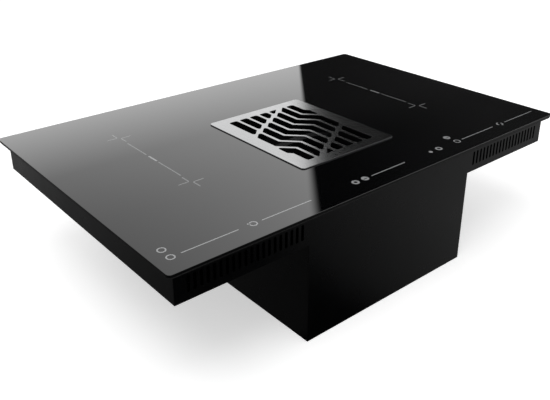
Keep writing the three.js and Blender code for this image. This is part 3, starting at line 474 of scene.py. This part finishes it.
# ---------------------------------------------------------------- intake grille
# Wavy bars between two slanted spines, and the same turned by half a turn. Coordinates are in the
# grille's own plane, from its middle.
PLATE_GAP = 0.15  # glass to the plate's underside
PLATE_BEVEL = 0.4
PLATE_CORNER = 6.5
BAR_PITCH = 22.0
BAR_WIDTH = 5.8
BAR_JOG = 24.6
BAR_RISE = 13.8
BARS = 7
SPINE_START = 24.5
SPINE_WIDTH = 5.0
SLOT_CORNER = 4.5
SIDE_MARGIN = 28.0
END_MARGIN = 20.0
FRAME_STEP = 3.4
FRAME_BULGE = 3.1
SKIRT_THICKNESS = 2.0
SKIRT_GAP = 0.8
SKIRT_BEVEL = 0.2
LAST_BAR = (BARS - 1) // 2
MITRE = BAR_WIDTH / 2 * math.tan(math.pi / 8)  # a 45 degree bend's shift along a bar's face
FIELD_X = GRILLE_X - SIDE_MARGIN
FIELD_Y = GRILLE_Y - END_MARGIN
BULGE_X = FIELD_X + FRAME_STEP + FRAME_BULGE


def half_turn(outline):
    """The outline turned by half a turn about (0, 0)."""
    return [(-x, -y) for x, y in outline]


def upper_kink(bar, side):
    """Where a bar's right (1) or left (-1) face turns into its 45 degree step, above the middle."""
    return (
        bar * BAR_PITCH - BAR_JOG / 2 + side * BAR_WIDTH / 2,
        bar * BAR_RISE + BAR_JOG / 2 + side * MITRE,
    )


def spine_at(column, x, face):
    """Height of a column's slanted spine at x, on its upper (1) or lower (-1) face."""
    foot = SPINE_START + column * BAR_RISE
    return x + FIELD_X - column * BAR_PITCH + foot + face * SPINE_WIDTH / math.sqrt(2)


def slanted_end(column, x0, x1, face):
    """A slot's slanted end between x0 and x1, cut off at the top of the field."""
    top_x = x1 - (spine_at(column, x1, face) - FIELD_Y)
    start = (x0, spine_at(column, x0, face))
    if top_x >= x1:
        return [start, (x1, spine_at(column, x1, face))]
    return [start, (top_x, FIELD_Y), (x1, FIELD_Y)]


def straight_slots():
    """Straight slots above the spine, the last of them a triangle under the field's edge."""
    slots = []
    for column in range(BARS - 2):
        left = -FIELD_X + column * BAR_PITCH
        right = left + BAR_PITCH - BAR_WIDTH
        end = slanted_end(column, left, right, 1)
        if end[0][1] > FIELD_Y - BAR_WIDTH:
            continue
        if len(end) == 2:
            slots.append([*end, (right, FIELD_Y), (left, FIELD_Y)])
        else:
            slots.append([*end[:2], (left, FIELD_Y)])
    return slots


def wave_top(bar):
    """Upper half of the wavy slot between a bar and the next one."""
    left, right = upper_kink(bar, 1), upper_kink(bar + 1, -1)
    return [left, *slanted_end(bar + LAST_BAR, left[0], right[0], -1), right]


def end_slot():
    """The slot outside the last bar, which bulges into the frame."""
    kink = upper_kink(LAST_BAR, 1)
    foot = kink[1] - (BULGE_X - kink[0])
    head = foot + BAR_JOG + BAR_WIDTH / 2
    return [
        (kink[0], FIELD_Y),
        kink,
        (BULGE_X, foot),
        (BULGE_X, head),
        (FIELD_X, head + BULGE_X - FIELD_X),
        (FIELD_X, FIELD_Y),
    ]


def grille_slots():
    """All slots, each with its twin half a turn on."""
    upper = [*straight_slots(), end_slot()]
    waves = [
        [*wave_top(bar), *half_turn(wave_top(-1 - bar))] for bar in range(-LAST_BAR, LAST_BAR)
    ]
    slots = [*upper, *[half_turn(slot) for slot in upper], *waves]
    return [
        [(x, y + GRILLE_MIDDLE) for x, y in rounded(slot, SLOT_CORNER)] for slot in slots
    ]


def intake_grille():
    """The slotted plate and the skirt under it that drops into the glass's cut-out."""
    plate_under = GLASS_TOP + PLATE_GAP
    plate = plate_mesh(
        [oblong(GRILLE_X, GRILLE_Y, PLATE_CORNER, 0, GRILLE_MIDDLE), *grille_slots()],
        plate_under,
        GRILLE_TOP,
        PLATE_BEVEL,
    )
    inset = CUTOUT_LAP + SKIRT_GAP
    skirt_outlines = [
        oblong(GRILLE_X - i, GRILLE_Y - i, CUTOUT_CORNER - i + CUTOUT_LAP, 0, GRILLE_MIDDLE)
        for i in (inset, inset + SKIRT_THICKNESS)
    ]
    skirt_head = plate_under + PLATE_BEVEL / 2
    skirt = plate_mesh(skirt_outlines, SKIRT_FOOT, skirt_head, SKIRT_BEVEL)
    made = piece(
        "grille_plate",
        joined([plate, skirt]),
        "grille",
        FINISHES["stainless_steel"],
        # the edge finish darkens the slot walls, the plate's edges and the skirt as painted shade
        edge=SHADED_CUT_EDGE,
    )
    # The plate's outer rim takes that darker copy of its steel as painted shade.
    rim = len(made.data.materials)
    made.data.materials.append(SHADED_PLATE_RIM)
    for face in made.data.polygons:
        x, y = face.center.x / MM, face.center.y / MM - GRILLE_MIDDLE
        outside = max(abs(x) - GRILLE_X, abs(y) - GRILLE_Y) > -PLATE_CORNER / 2
        if outside and abs(face.normal.z) < LEVEL:
            face.material_index = rim
    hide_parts("intake_grille")


# ---------------------------------------------------------------- printed marks on the glass
PRINT_RISE = 0.04
KEY_ROW = -227.5  # y of the touch keys' main row
UPPER_ROW = -207.5
KEY_RADIUS = 6.0
THIN_BORE = 4.1
BOLD_BORE = 2.8
SLIT_WIDTH = 1.6
SPLIT_WIDTH = 1.3  # the split ring's line, in widths of a thin ring's
SPLIT_ARCS = ((70, 200), (-110, 20))  # degrees
SLIDER_WIDTH = 1.7
THIN_RINGS = ((-376.5, KEY_ROW), (-376.5, UPPER_ROW), (-254.5, KEY_ROW), (165.0, KEY_ROW))
BOLD_RINGS = ((-70.0, KEY_ROW), (118.0, KEY_ROW))
DISCS = ((-50.5, KEY_ROW), (164.0, UPPER_ROW))
SPLIT_RING = (284.6, KEY_ROW)
DOTS = ((3.4, 98.0, KEY_ROW), (1.8, -260.0, KEY_ROW + 3.0))  # radius, x and y
SLIDERS = ((-361.5, -278.5), (-240, -156), (-36, 35.5), (178.5, 263), (299.5, 382))
MARK_WIDTH = 2.2
MARK_ARM = 20.0
MARK_SPLIT = 2.1  # from a zone mark's middle to each of its two brackets
MARK_BEND = 3.0
ZONE_COLUMNS = (-247.5, 249.0)
ZONE_MARKS = (134.0, -76.5)
ZONE_LINES = ((-49, 11), (48, 105))
ZONE_DASH = (18, 39)  # the bolder dash between the two lines
DASH_WIDTH = 3.0


def flat_print(outlines):
    """A print on the glass, sunk in by half of what it stands proud."""
    return plate_mesh(outlines, GLASS_TOP - PRINT_RISE / 2, GLASS_TOP + PRINT_RISE)


def key_ring(x, y, bore=THIN_BORE):
    """A ring around a key, thin or bold by its bore."""
    return flat_print([circle(KEY_RADIUS, x, y), circle(bore, x, y)])


def key_disc(x, y):
    """A disc with a slit across it."""
    reach = KEY_RADIUS / 2
    height = y - SLIT_WIDTH / 2
    slit = stroke((x - reach, height), (x + reach, height), SLIT_WIDTH)
    return flat_print([circle(KEY_RADIUS, x, y), slit])


def ribbon(path, width):
    """A line of that width along the path's points."""
    sides = []
    for i, here in enumerate(path):
        before = Vector(path[max(i - 1, 0)])
        after = Vector(path[min(i + 1, len(path) - 1)])
        across = (after - before).orthogonal().normalized() * (width / 2)
        sides.append((Vector(here) + across, Vector(here) - across))
    return [tuple(left) for left, _ in sides] + [tuple(right) for _, right in reversed(sides)]


def arc(x, y, radius, start, end):
    """Points along a circle about (x, y), from one angle to the other."""
    turns = [start + (end - start) * i / ARC_STEPS for i in range(ARC_STEPS + 1)]
    return [(x + radius * math.cos(a), y + radius * math.sin(a)) for a in turns]


def split_ring(x, y):
    """Two arcs that face each other."""
    radius = (KEY_RADIUS + THIN_BORE) / 2
    width = SPLIT_WIDTH * (KEY_RADIUS - THIN_BORE)
    halves = [(math.radians(start), math.radians(end)) for start, end in SPLIT_ARCS]
    return flat_print([ribbon(arc(x, y, radius, *half), width) for half in halves])


def touch_marks():
    """Rings, discs, dots and sliders of the touch keys along the front edge."""
    forms = [key_ring(x, y) for x, y in THIN_RINGS]
    forms += [key_ring(x, y, BOLD_BORE) for x, y in BOLD_RINGS]
    forms += [key_disc(x, y) for x, y in DISCS]
    forms += [split_ring(*SPLIT_RING)]
    forms += [flat_print([circle(radius, x, y)]) for radius, x, y in DOTS]
    forms += [
        flat_print([stroke((x0, KEY_ROW), (x1, KEY_ROW), SLIDER_WIDTH)]) for x0, x1 in SLIDERS
    ]
    piece("touch_marks", joined(forms), "hob", PRINT)


def zone_mark(x, y):
    """Two rounded brackets, back to back."""
    bend = MARK_SPLIT + MARK_BEND
    corner = arc(-bend, bend, MARK_BEND, -math.pi / 2, 0)
    bracket = [(-MARK_ARM, MARK_SPLIT), *corner, (-MARK_SPLIT, MARK_ARM)]
    forms = []
    for path in (bracket, half_turn(bracket)):
        outline = ribbon(path, MARK_WIDTH)
        forms.append(flat_print([[(x + dx, y + dy) for dx, dy in outline]]))
    return joined(forms)


def zone_marks():
    """Two marks over each pair of coils, and between them two lines with a bolder dash."""
    faint, bold = [], []
    for x in ZONE_COLUMNS:
        faint += [zone_mark(x, y) for y in ZONE_MARKS]
        faint += [flat_print([stroke((x, y0), (x, y1), MARK_WIDTH)]) for y0, y1 in ZONE_LINES]
        bold += [flat_print([stroke((x, ZONE_DASH[0]), (x, ZONE_DASH[1]), DASH_WIDTH)])]
    piece("zone_marks", joined(faint), "hob", FAINT_PRINT)
    piece("zone_dashes", joined(bold), "hob", PRINT)


# ---------------------------------------------------------------- screws and the gland's nut
HEAD_RADIUS = 3.2
HEAD_HEIGHT = 2.0
HEAD_STEP = 0.3  # from the head's foot in to its crown
HEAD_SIDES = 24
RECESS_DEPTH = 0.9
RECESS_REACH = 1.9
RECESS_WIDTH = 0.9
CROWN_BEVEL = 0.1
SUNK = 0.1  # a head's foot into the sheet under it, and its crown into its foot
EDGE_INSET = 5.0  # a screw's middle from the edge of what it holds
TERMINAL_INSET = 10.0
WIDE_INSET = 15.0  # for the base cover and the heat sinks
FLANGE_RISE = 2.3  # casing's rear wall to the spigot flange's outer face
BASE_SCREW_RISE = 6.0
NUT_RADIUS = 12.4
NUT_LENGTH = 5.0
NUT_BEVEL = 0.3


def pan_head():
    """A cross-recessed pan head that stands on z = 0."""
    half = RECESS_WIDTH / 2
    arm = [(RECESS_REACH, -half), (RECESS_REACH, half), (half, half)]
    recess = []
    for _ in range(4):
        recess += arm
        arm = [(-y, x) for x, y in arm]
    floor = HEAD_HEIGHT - RECESS_DEPTH
    foot = plate_mesh([circle(HEAD_RADIUS, steps=HEAD_SIDES)], -SUNK, floor, HEAD_STEP)
    crown = circle(HEAD_RADIUS - HEAD_STEP, steps=HEAD_SIDES)
    return joined([foot, plate_mesh([crown, recess], floor - SUNK, HEAD_HEIGHT, CROWN_BEVEL)])


def turned_to(form, facing, place):
    """The form, made along +Z, turned to face that way and put in its place."""
    turn = Vector(facing).to_track_quat("Z", "Y").to_matrix()
    bmesh.ops.rotate(form, verts=form.verts, matrix=turn)
    bmesh.ops.translate(form, verts=form.verts, vec=place)
    return form


def screws(name, facing, places):
    """One piece of pan heads at those places, all facing the same way."""
    forms = [turned_to(pan_head(), facing, place) for place in places]
    piece(name, joined(forms), "hob", FINISHES["steel"])


def spigot_screws():
    """Around the spigot's flange, in two rows."""
    low, high = extent("outlet_spigot")
    face = extent("fan_casing")[1].y + FLANGE_RISE
    columns = (low.x + EDGE_INSET, (low.x + high.x) / 2, high.x - EDGE_INSET)
    rows = (low.z + EDGE_INSET, high.z - EDGE_INSET)
    screws("spigot_screws", (0, 1, 0), [(x, face, z) for x in columns for z in rows])


def base_screws():
    """Through the casing's rear wall into the base cover, beside the spigot."""
    low, high = extent("fan_casing")
    free = extent("outlet_spigot")[0].x
    columns = (low.x + WIDE_INSET, free - WIDE_INSET)
    screws("base_screws", (0, 1, 0), [(x, high.y, BASE_SCREW_RISE) for x in columns])


def tray_screws():
    """Under the housing's floor: the cooling fans', the heat sinks' and the terminal block's."""
    places = []
    for side in ("left", "right"):
        low, high = extent("cooling_fan_frame_" + side)
        places += [
            (x, y)
            for x in (low.x + EDGE_INSET, high.x - EDGE_INSET)
            for y in (low.y + EDGE_INSET, high.y - EDGE_INSET)
        ]
        low, high = extent("heat_sink_" + side)
        middle = (low.x + high.x) / 2
        places += [(middle, low.y + WIDE_INSET), (middle, high.y - WIDE_INSET)]
    low, high = extent("terminal_block")
    middle = (low.x + high.x) / 2
    places += [(middle, low.y + TERMINAL_INSET), (middle, high.y - TERMINAL_INSET)]
    under = extent("housing_tray")[0].z
    screws("tray_screws", (0, 0, -1), [(x, y, under) for x, y in places])


def gland_nut():
    """The hexagon nut that holds the blanked cable gland in the housing's rear wall."""
    low, high = extent("cable_gland")
    form = plate_mesh([circle(NUT_RADIUS, steps=6)], 0, NUT_LENGTH, NUT_BEVEL)
    place = ((low.x + high.x) / 2, extent("housing_tray")[1].y, (low.z + high.z) / 2)
    nut = turned_to(form, (0, 1, 0), place)
    piece("gland_nut", nut, "hob", FINISHES["black_plastic"])


# ---------------------------------------------------------------- camera
CAMERA_PLACE = Vector((-0.7263, -0.8327, 0.6457))
CAMERA_AZIMUTH = math.radians(-39.98)
CAMERA_ELEVATION = math.radians(23.39)
CAMERA_LENS = 45.51  # millimetres, as the sensor's width
CAMERA_SENSOR = 36
CAMERA_SHIFT = -0.0909
CAMERA_NEAR = 0.05
CAMERA_FAR = 100


def add_camera():
    """The camera, which looks straight against the direction of its azimuth and elevation."""
    data = bpy.data.cameras.new("camera")
    data.lens = CAMERA_LENS
    data.sensor_width = CAMERA_SENSOR
    data.shift_y = CAMERA_SHIFT
    data.clip_start = CAMERA_NEAR
    data.clip_end = CAMERA_FAR
    camera = bpy.data.objects.new("camera", data)
    bpy.context.scene.collection.objects.link(camera)
    camera.location = CAMERA_PLACE
    back = Vector(
        (
            math.sin(CAMERA_AZIMUTH) * math.cos(CAMERA_ELEVATION),
            -math.cos(CAMERA_AZIMUTH) * math.cos(CAMERA_ELEVATION),
            math.sin(CAMERA_ELEVATION),
        )
    )
    camera.rotation_mode = "QUATERNION"
    camera.rotation_quaternion = (-back).to_track_quat("-Z", "Y")
    bpy.context.scene.camera = camera


# ---------------------------------------------------------------- studio
FLOOR_SIZE = 30.0
FLOOR_DROP = 0.0005  # below the object's foot
FLOOR_LIFT = 0.50  # the floor's own light, as the background rays see it
AMBIENT = 0.55  # the world's light, as all other rays see it
LAMP_PLACE = Vector((-1.2, -0.6, 3.0))
LAMP_AIM = Vector((0, 0, 0.1))
LAMP_SIZE = 2.4
LAMP_WATTS = 42


def stage_mesh(name, corners, material):
    """One flat face of the studio, not a piece of the object."""
    mesh = bpy.data.meshes.new(name)
    mesh.from_pydata([tuple(corner) for corner in corners], [], [tuple(range(len(corners)))])
    mesh.materials.append(material)
    made = bpy.data.objects.new(name, mesh)
    bpy.context.scene.collection.objects.link(made)
    return made


def background_rays(tree):
    """1 for the rays that show the background: seen, mirrored or refracted."""
    path = tree.nodes.new("ShaderNodeLightPath")
    total = path.outputs["Is Camera Ray"]
    for kind in ("Is Glossy Ray", "Is Transmission Ray"):
        either = tree.nodes.new("ShaderNodeMath")
        either.operation = "MAXIMUM"
        tree.links.new(total, either.inputs[0])
        tree.links.new(path.outputs[kind], either.inputs[1])
        total = either.outputs[0]
    return total


def floor_material():
    """A pale floor, lifted to white where no shadow falls."""
    pale = Finish("floor", Roughness=0.9, Specular_IOR_Level=0.0)
    pale.colours(pale.noise(3.0, 2.0), (0.86, 0.86, 0.86), (0.90, 0.90, 0.90))
    lift = pale.add("ShaderNodeMath", operation="MULTIPLY")
    lift.inputs[1].default_value = FLOOR_LIFT
    pale.link(background_rays(pale.tree), lift.inputs[0])
    pale.shader.inputs["Emission Color"].default_value = (1, 1, 1, 1)
    pale.link(lift.outputs[0], pale.shader.inputs["Emission Strength"])
    return pale.material


def floor_corners(height):
    """The floor's square at that height."""
    half = FLOOR_SIZE / 2
    return [(x, y, height) for x, y in ((-half, -half), (half, -half), (half, half), (-half, half))]


def add_floor():
    """The pale floor that the object stands on."""
    stage_mesh("floor", floor_corners(-FLOOR_DROP), floor_material())


def add_world():
    """White for what is seen and mirrored, and a plain ambient light for everything else."""
    world = bpy.data.worlds.new("studio")
    bpy.context.scene.world = world
    world.use_nodes = True
    tree = world.node_tree
    background = tree.nodes["Background"]
    background.inputs["Color"].default_value = (1, 1, 1, 1)
    strength = tree.nodes.new("ShaderNodeMapRange")
    strength.inputs["To Min"].default_value = AMBIENT
    strength.inputs["To Max"].default_value = 1.0
    tree.links.new(background_rays(tree), strength.inputs["Value"])
    tree.links.new(strength.outputs["Result"], background.inputs["Strength"])


def add_lamp():
    """One soft lamp overhead, not mirrored in the glass."""
    data = bpy.data.lights.new("overhead", "AREA")
    data.shape = "DISK"
    data.size = LAMP_SIZE
    data.energy = LAMP_WATTS
    lamp = bpy.data.objects.new("overhead", data)
    bpy.context.scene.collection.objects.link(lamp)
    lamp.location = LAMP_PLACE
    lamp.rotation_mode = "QUATERNION"
    lamp.rotation_quaternion = (LAMP_AIM - LAMP_PLACE).to_track_quat("-Z", "Y")
    lamp.visible_camera = False
    lamp.visible_glossy = False


# Two points of the glass on the edge between the light and the dark half that it mirrors
EDGE_REAR = Vector((0.2705, 0.2670, 0.213))
EDGE_FRONT = Vector((-0.1616, -0.2549, 0.213))
# The two upright cards stand at CARD_Y, from CARD_FOOT to CARD_HEAD, on either side of that edge
CARD_Y = 2.5
CARD_FOOT = -1.0
CARD_HEAD = 6.0
CARD_WIDTH = 9.0
# The lit card, the scrim: (height, brightness) at its left and at its right
SCRIM_LEFT = ((1.10, 1.22), (1.40, 0.64), (1.75, 0.52), (2.30, 0.45))
SCRIM_RIGHT = ((1.10, 1.08), (1.40, 0.92), (1.90, 0.92), (2.30, 0.95))
SCRIM_SPAN = (0.5, 2.4)  # the x at which each of the two holds, with a blend between them
SOFT_EDGE = ((1.1, 0.03), (2.2, 0.13))  # (height, how far in the scrim fades at its edge)
# The dark card's brightness is the sum of both: (height, brightness) and (x, brightness)
DARK_UP = ((0.9, 0.014), (1.5, 0.013), (1.85, 0.003), (2.3, 0.0005))
DARK_RIGHT = ((2.6, 0.0), (3.3, 0.006), (4.0, 0.014), (4.7, 0.020))
# The floor as satin sheets mirror it, the sum of both: (x, brightness) and (y, brightness)
FLOOR_RIGHT = ((-0.08, 0.00), (0.02, 0.22), (0.30, 0.54), (0.60, 0.61), (0.80, 0.72))
FLOOR_REAR = (
    (-0.25, 0.00),
    (-0.22, 0.08),
    (0.00, 0.11),
    (0.35, 0.22),
    (0.70, 0.42),
    (1.20, 1.00),
)


def mirrored(point):
    """Where the camera sees that point of the glass reflect the card's plane."""
    seen_from = Vector((CAMERA_PLACE.x, CAMERA_PLACE.y, 2 * GLASS_TOP * MM - CAMERA_PLACE.z))
    ray = point - seen_from
    return seen_from + ray * ((CARD_Y - seen_from.y) / ray.y)


def stepped_ramp(card, along, stops):
    """The brightness through (place, brightness) stops, each place measured along that value."""
    low, high = stops[0][0], stops[-1][0]
    share = card.add("ShaderNodeMapRange")
    share.inputs["From Min"].default_value = low
    share.inputs["From Max"].default_value = high
    card.link(along, share.inputs["Value"])
    ramp = card.add("ShaderNodeValToRGB")
    elements = ramp.color_ramp.elements
    while len(elements) < len(stops):
        elements.new(0.5)
    for element, (place, brightness) in zip(elements, stops):
        element.position = (place - low) / (high - low)
        element.color = (brightness, brightness, brightness, 1)
    card.link(share.outputs["Result"], ramp.inputs["Fac"])
    return ramp.outputs["Color"]


def card_finish(name):
    """A card that only glows, and its own x, y and z."""
    card = Finish(name, Base_Color=(0, 0, 0, 1), Roughness=1.0, Specular_IOR_Level=0.0)
    card.shader.inputs["Emission Strength"].default_value = 1.0
    split = card.add("ShaderNodeSeparateXYZ")
    card.link(card.place(), split.inputs["Vector"])
    return card, split


def scrim_material(foot, head):
    """A lit scrim, dimmer towards its head and left, that fades out along its slanted edge."""
    card, split = card_finish("card_scrim")
    height = split.outputs["Z"]
    share = card.add("ShaderNodeMapRange")
    share.inputs["From Min"].default_value = SCRIM_SPAN[0]
    share.inputs["From Max"].default_value = SCRIM_SPAN[1]
    card.link(split.outputs["X"], share.inputs["Value"])
    mix = card.add("ShaderNodeMixRGB")
    card.link(share.outputs["Result"], mix.inputs["Fac"])
    card.link(stepped_ramp(card, height, SCRIM_LEFT), mix.inputs["Color1"])
    card.link(stepped_ramp(card, height, SCRIM_RIGHT), mix.inputs["Color2"])
    card.link(mix.outputs["Color"], card.shader.inputs["Emission Color"])
    slope = (head.x - foot.x) / (head.z - foot.z)
    edge = card.add("ShaderNodeMath", operation="MULTIPLY_ADD")
    card.link(height, edge.inputs[0])
    edge.inputs[1].default_value = slope
    edge.inputs[2].default_value = foot.x - slope * foot.z
    inside = card.add("ShaderNodeMath", operation="SUBTRACT")
    card.link(edge.outputs[0], inside.inputs[0])
    card.link(split.outputs["X"], inside.inputs[1])
    width = card.add("ShaderNodeMapRange")
    (low, narrow), (high, wide) = SOFT_EDGE
    width.inputs["From Min"].default_value = low
    width.inputs["From Max"].default_value = high
    width.inputs["To Min"].default_value = narrow
    width.inputs["To Max"].default_value = wide
    card.link(height, width.inputs["Value"])
    fade = card.add("ShaderNodeMapRange", interpolation_type="SMOOTHSTEP")
    card.link(inside.outputs[0], fade.inputs["Value"])
    card.link(width.outputs["Result"], fade.inputs["From Max"])
    card.link(fade.outputs["Result"], card.shader.inputs["Emission Strength"])
    return card.material


def two_way_material(name, first, first_stops, second, second_stops):
    """A card whose brightness is the sum of two ramps, each along one of its directions."""
    card, split = card_finish(name)
    total = card.add("ShaderNodeVectorMath", operation="ADD")
    card.link(stepped_ramp(card, split.outputs[first], first_stops), total.inputs[0])
    card.link(stepped_ramp(card, split.outputs[second], second_stops), total.inputs[1])
    card.link(total.outputs["Vector"], card.shader.inputs["Emission Color"])
    return card.material


def add_cards():
    """Cards that only the object's gloss sees.

    Two upright ones behind it meet in one slanted edge, and a third lies just over the floor.
    """
    low, high = mirrored(EDGE_REAR), mirrored(EDGE_FRONT)
    slope = (high - low) / (high.z - low.z)
    foot = low + slope * (CARD_FOOT - low.z)
    head = low + slope * (CARD_HEAD - low.z)
    reach = Vector((CARD_WIDTH, 0, 0))
    dark = [foot, foot + reach, head + reach, head]
    light = [foot - reach, foot, head, head - reach]
    flat = floor_corners(-FLOOR_DROP / 2)
    dark_finish = two_way_material("card_dark", "X", DARK_RIGHT, "Z", DARK_UP)
    flat_finish = two_way_material("card_floor", "X", FLOOR_RIGHT, "Y", FLOOR_REAR)
    for card in (
        stage_mesh("card_dark", dark, dark_finish),
        stage_mesh("card_scrim", light, scrim_material(foot, head)),
        stage_mesh("card_floor", flat, flat_finish),
    ):
        card.visible_camera = False
        card.visible_diffuse = False
        card.visible_shadow = False


add_camera()
dress_nodes()
glass_top()
intake_grille()
touch_marks()
zone_marks()
spigot_screws()
base_screws()
tray_screws()
gland_nut()
add_world()
add_floor()
add_lamp()
add_cards()
bpy.context.scene.view_settings.view_transform = "Standard"
